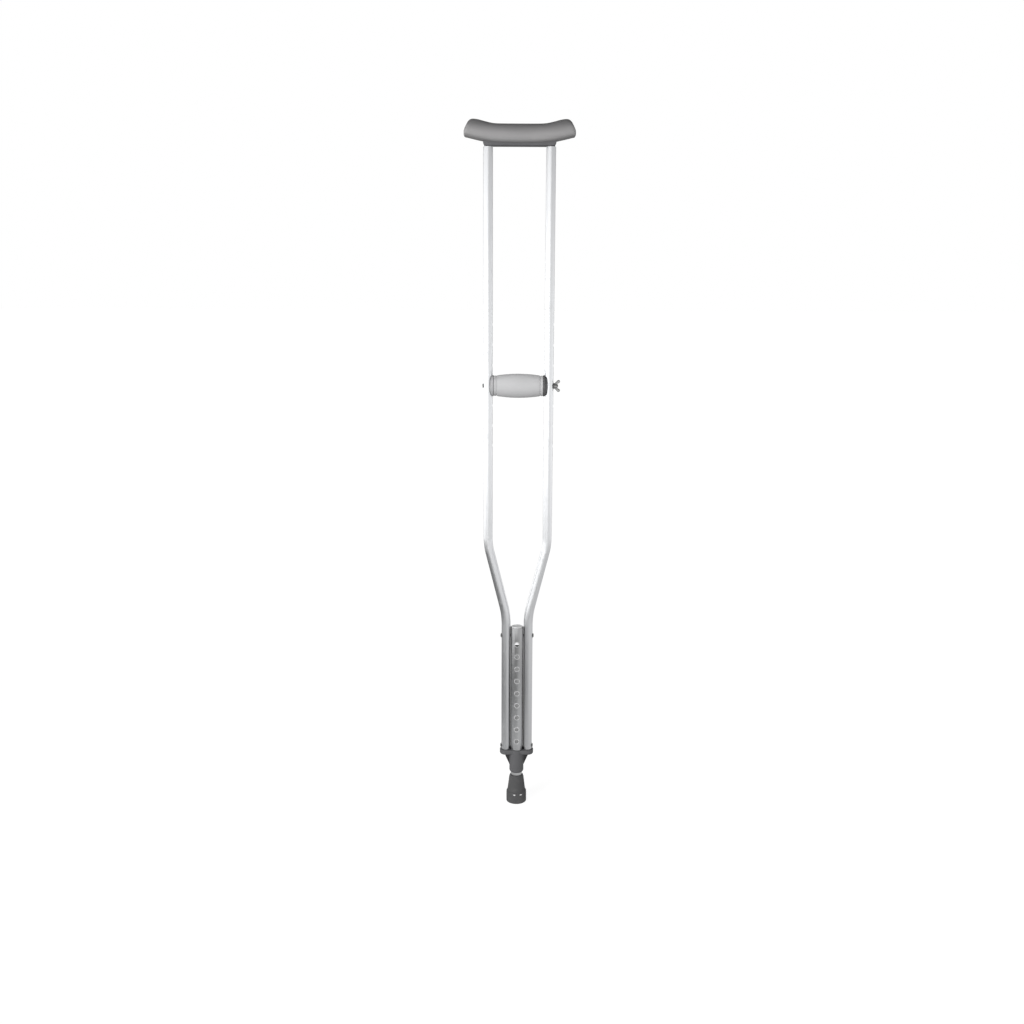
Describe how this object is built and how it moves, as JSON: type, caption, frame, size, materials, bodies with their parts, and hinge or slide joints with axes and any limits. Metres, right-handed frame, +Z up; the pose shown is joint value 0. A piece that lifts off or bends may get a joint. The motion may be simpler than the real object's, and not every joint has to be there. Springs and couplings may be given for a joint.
{
  "type": "underarm crutch",
  "caption": "Adjustable underarm crutch: bent tube uprights, padded top rest, bolted handgrip, and a telescoping leg on a rubber tip locked by a snap button.",
  "frame": {"origin": "centre of the tip's sole, on the floor", "axes": "+Z up along the crutch; X from the left upright to the right one, with the wing nut at +X; the snap button faces -Y"},
  "size_m": [0.2026, 0.0474, 1.321],
  "materials": {
    "upright_aluminium": "satin anodised",
    "sleeve_aluminium": "satin anodised",
    "leg_aluminium": "satin anodised",
    "bracket_plastic": "moulded, matt dark grey",
    "cap_plastic": "moulded, mid grey",
    "core_plastic": "moulded, dark grey",
    "cup_plastic": "moulded, mid grey",
    "cushion_rubber": "soft matt grey",
    "grip_rubber": "soft matt light grey",
    "tip_rubber": "matt dark grey",
    "zinc_steel": "zinc plated",
    "button_steel": "polished",
    "spring_steel": "plain spring steel"
  },
  "bodies": {
    "frame": {"upright_left": "upright_aluminium", "upright_right": "upright_aluminium", "underarm_bracket": "bracket_plastic", "underarm_cushion": "cushion_rubber", "sleeve_tube": "sleeve_aluminium", "sleeve_cap": "cap_plastic", "upper_rivet": "zinc_steel", "lower_rivet_left": "zinc_steel", "lower_rivet_right": "zinc_steel", "foot_bracket": "bracket_plastic"},
    "leg": {"leg_tube": "leg_aluminium", "tip": "tip_rubber", "tip_washer": "zinc_steel", "button_spring": "spring_steel"},
    "button": {"snap_button": "button_steel"},
    "handgrip": {"grip_core": "core_plastic", "grip_cover": "grip_rubber", "grip_cup_left": "cup_plastic", "grip_cup_right": "cup_plastic", "grip_bolt": "zinc_steel", "bolt_washer": "zinc_steel"},
    "nut": {"wing_nut": "zinc_steel"}
  },
  "joints": [
    {"name": "leg_slide", "type": "slide", "parent": "frame", "child": "leg", "axis": [0, 0, -1], "range_m": [0, 0.2032], "deforming": ["snap_button"]},
    {"name": "button_press", "type": "slide", "parent": "leg", "child": "button", "axis": [0, 1, 0], "range_m": [0, 0.0042], "stiffness_N_per_m": 1500, "springref_m": -0.002, "deforming": ["button_spring"]},
    {"name": "handgrip_height", "type": "slide", "parent": "frame", "child": "handgrip", "axis": [0, 0, 1], "range_m": [-0.1143, 0.1143]},
    {"name": "wing_nut_turn", "type": "hinge", "parent": "handgrip", "child": "nut", "pos_m": [0.06785, 0, 0.842], "axis": [1, 0, 0], "continuous": true}
  ]
}
